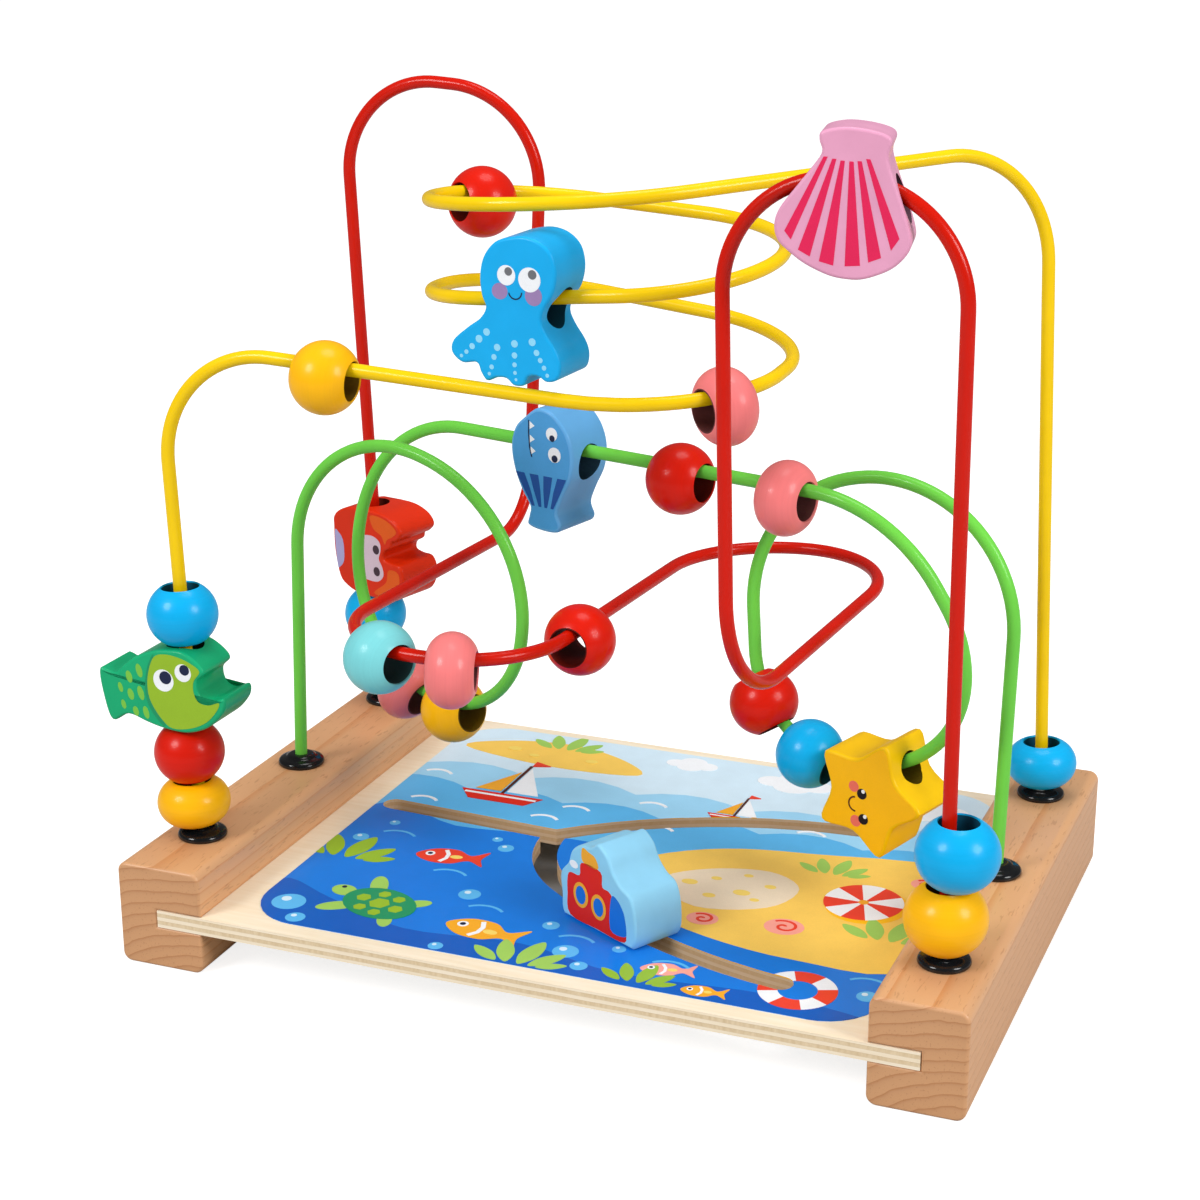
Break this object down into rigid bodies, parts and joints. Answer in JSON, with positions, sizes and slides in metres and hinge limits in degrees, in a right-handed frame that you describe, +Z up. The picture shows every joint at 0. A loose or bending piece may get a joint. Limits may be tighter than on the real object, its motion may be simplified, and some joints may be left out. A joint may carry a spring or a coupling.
{
  "type": "bead maze",
  "caption": "Wooden bead maze: coloured beads and sea-animal shapes slide along bent wires above a printed panel with a slot track for a boat.",
  "frame": {"origin": "centre of the base's footprint on the table", "axes": "+X to the right seen from the front, +Y to the back, +Z up"},
  "size_m": [0.3165, 0.205, 0.2972],
  "materials": {
    "beech": "clear satin lacquer",
    "plywood": "printed, clear lacquer",
    "collar": "gloss",
    "wire_yellow": "gloss coating",
    "wire_red": "gloss coating",
    "wire_green": "gloss coating",
    "birch": "plain",
    "screw_steel": "zinc plated",
    "paint_yellow": "gloss lacquer",
    "paint_red": "gloss lacquer",
    "paint_blue": "gloss lacquer",
    "paint_pink": "gloss lacquer",
    "paint_cyan": "gloss lacquer",
    "paint_fish": "gloss lacquer, printed face",
    "paint_octopus": "gloss lacquer, printed face",
    "paint_crab": "gloss lacquer, printed face",
    "paint_shell": "gloss lacquer, printed face",
    "paint_shark": "gloss lacquer, printed face",
    "paint_star": "gloss lacquer, printed face",
    "paint_boat": "gloss lacquer, printed face"
  },
  "bodies": {
    "base": {"rail_left": "beech", "rail_right": "beech", "panel": "plywood", "collar_left_front": "collar", "collar_left_middle": "collar", "collar_left_back": "collar", "collar_right_front": "collar", "collar_right_middle": "collar", "collar_right_back": "collar", "wire_yellow": "wire_yellow", "wire_red": "wire_red", "wire_green": "wire_green"},
    "bead_yellow_left": {"bead_yellow_left": "paint_yellow"},
    "bead_red_left": {"bead_red_left": "paint_red"},
    "fish": {"fish": "paint_fish"},
    "bead_blue_left": {"bead_blue_left": "paint_blue"},
    "bead_yellow_front": {"bead_yellow_front": "paint_yellow"},
    "bead_pink_coil": {"bead_pink_coil": "paint_pink"},
    "octopus": {"octopus": "paint_octopus"},
    "bead_red_coil": {"bead_red_coil": "paint_red"},
    "bead_blue_back": {"bead_blue_back": "paint_blue"},
    "bead_red_rear": {"bead_red_rear": "paint_red"},
    "bead_blue_rear": {"bead_blue_rear": "paint_blue"},
    "crab": {"crab": "paint_crab"},
    "bead_cyan_turn": {"bead_cyan_turn": "paint_cyan"},
    "bead_pink_turn": {"bead_pink_turn": "paint_pink"},
    "bead_red_run": {"bead_red_run": "paint_red"},
    "shell": {"shell": "paint_shell"},
    "bead_yellow_right": {"bead_yellow_right": "paint_yellow"},
    "bead_blue_right": {"bead_blue_right": "paint_blue"},
    "bead_yellow_loop": {"bead_yellow_loop": "paint_yellow"},
    "bead_pink_loop": {"bead_pink_loop": "paint_pink"},
    "shark": {"shark": "paint_shark"},
    "bead_red_middle": {"bead_red_middle": "paint_red"},
    "bead_pink_middle": {"bead_pink_middle": "paint_pink"},
    "star": {"star": "paint_star"},
    "bead_blue_loop": {"bead_blue_loop": "paint_blue"},
    "bead_red_loop": {"bead_red_loop": "paint_red"},
    "boat": {"boat": "paint_boat", "boat_peg": "birch", "boat_disc": "birch", "boat_screw": "screw_steel"}
  },
  "joints": [
    {"name": "yellow_left_lift", "type": "slide", "parent": "base", "child": "bead_yellow_left", "axis": [-0.0405, 0.0058, 0.9992], "range_m": [0, 0.01]},
    {"name": "red_left_lift", "type": "slide", "parent": "bead_yellow_left", "child": "bead_red_left", "axis": [-0.0405, 0.0058, 0.9992], "range_m": [0, 0.01]},
    {"name": "fish_lift", "type": "slide", "parent": "bead_red_left", "child": "fish", "axis": [-0.0405, 0.0058, 0.9992], "range_m": [0, 0.01]},
    {"name": "blue_left_lift", "type": "slide", "parent": "fish", "child": "bead_blue_left", "axis": [-0.0405, 0.0058, 0.9992], "range_m": [0, 0.01]},
    {"name": "yellow_front_slide", "type": "slide", "parent": "base", "child": "bead_yellow_front", "axis": [0.9966, 0.0528, -0.0627], "range_m": [-0.008, 0.02]},
    {"name": "pink_coil_travel", "type": "hinge", "parent": "base", "child": "bead_pink_coil", "pos_m": [0.01591, -0.01921, 0.20722], "axis": [-0.0462, -0.0556, 0.9974], "range_deg": [-20, 20]},
    {"name": "octopus_slide", "type": "slide", "parent": "base", "child": "octopus", "axis": [0.996, 0.0159, 0.0876], "range_m": [0, 0.016]},
    {"name": "red_coil_travel", "type": "hinge", "parent": "base", "child": "bead_red_coil", "pos_m": [-0.02312, -0.01128, 0.25612], "axis": [0.0612, 0.0665, 0.9959], "range_deg": [-40, 12]},
    {"name": "blue_back_lift", "type": "slide", "parent": "base", "child": "bead_blue_back", "axis": [-0.0428, 0, 0.9991], "range_m": [0, 0.15]},
    {"name": "red_rear_lift", "type": "slide", "parent": "base", "child": "bead_red_rear", "axis": [-0.0405, -0.0041, 0.9992], "range_m": [0, 0.03]},
    {"name": "blue_rear_lift", "type": "slide", "parent": "bead_red_rear", "child": "bead_blue_rear", "axis": [-0.0405, -0.0041, 0.9992], "range_m": [0, 0.03]},
    {"name": "crab_lift", "type": "slide", "parent": "bead_blue_rear", "child": "crab", "axis": [-0.0405, -0.0041, 0.9992], "range_m": [0, 0.03]},
    {"name": "cyan_turn_travel", "type": "hinge", "parent": "base", "child": "bead_cyan_turn", "pos_m": [-0.04294, -0.04751, 0.12006], "axis": [0.0137, 0.0118, 0.9998], "range_deg": [-40, 2]},
    {"name": "pink_turn_travel", "type": "hinge", "parent": "base", "child": "bead_pink_turn", "pos_m": [-0.04104, -0.04754, 0.12004], "axis": [0.0137, 0.0115, 0.9998], "range_deg": [0, 40]},
    {"name": "red_run_slide", "type": "slide", "parent": "base", "child": "bead_red_run", "axis": [0.0551, 0.9984, -0.0123], "range_m": [-0.002, 0.06]},
    {"name": "shell_travel", "type": "hinge", "parent": "base", "child": "shell", "pos_m": [0.09631, -0.07275, 0.24493], "axis": [0.0265, 0.9996, 0.0086], "range_deg": [0, 20]},
    {"name": "yellow_right_lift", "type": "slide", "parent": "base", "child": "bead_yellow_right", "axis": [-0.0084, -0.0084, 0.9999], "range_m": [0, 0.07]},
    {"name": "blue_right_lift", "type": "slide", "parent": "bead_yellow_right", "child": "bead_blue_right", "axis": [-0.0084, -0.0084, 0.9999], "range_m": [0, 0.07]},
    {"name": "yellow_loop_travel", "type": "hinge", "parent": "base", "child": "bead_yellow_loop", "pos_m": [-0.07326, -0.00108, 0.11218], "axis": [0.349, 0.9366, 0.032], "range_deg": [-50, 0]},
    {"name": "pink_loop_travel", "type": "hinge", "parent": "base", "child": "bead_pink_loop", "pos_m": [-0.07118, 0.00675, 0.12182], "axis": [0.3367, 0.9323, -0.1323], "range_deg": [0, 60]},
    {"name": "shark_slide", "type": "slide", "parent": "base", "child": "shark", "axis": [0.9698, -0.2437, 0.0049], "range_m": [-0.025, 0.012]},
    {"name": "red_middle_slide", "type": "slide", "parent": "base", "child": "bead_red_middle", "axis": [0.9698, -0.2437, 0.0049], "range_m": [-0.012, 0.01]},
    {"name": "pink_middle_slide", "type": "slide", "parent": "base", "child": "bead_pink_middle", "axis": [0.9698, -0.2437, 0.0049], "range_m": [-0.01, 0]},
    {"name": "star_travel", "type": "hinge", "parent": "base", "child": "star", "pos_m": [0.0778, -0.00899, 0.11699], "axis": [0.2335, 0.9499, 0.2076], "range_deg": [-40, 0]},
    {"name": "blue_loop_travel", "type": "hinge", "parent": "base", "child": "bead_blue_loop", "pos_m": [0.07708, 0.00461, 0.10656], "axis": [0.2602, 0.9622, -0.08], "range_deg": [0, 12]},
    {"name": "red_loop_travel", "type": "hinge", "parent": "bead_blue_loop", "child": "bead_red_loop", "pos_m": [0.07708, 0.00461, 0.10656], "axis": [0.2602, 0.9622, -0.08], "range_deg": [0, 12]},
    {"name": "boat_travel", "type": "hinge", "parent": "base", "child": "boat", "pos_m": [0.11214, 0.1202, 0.0215], "axis": [0, 0, 1], "range_deg": [-4, 16]}
  ]
}
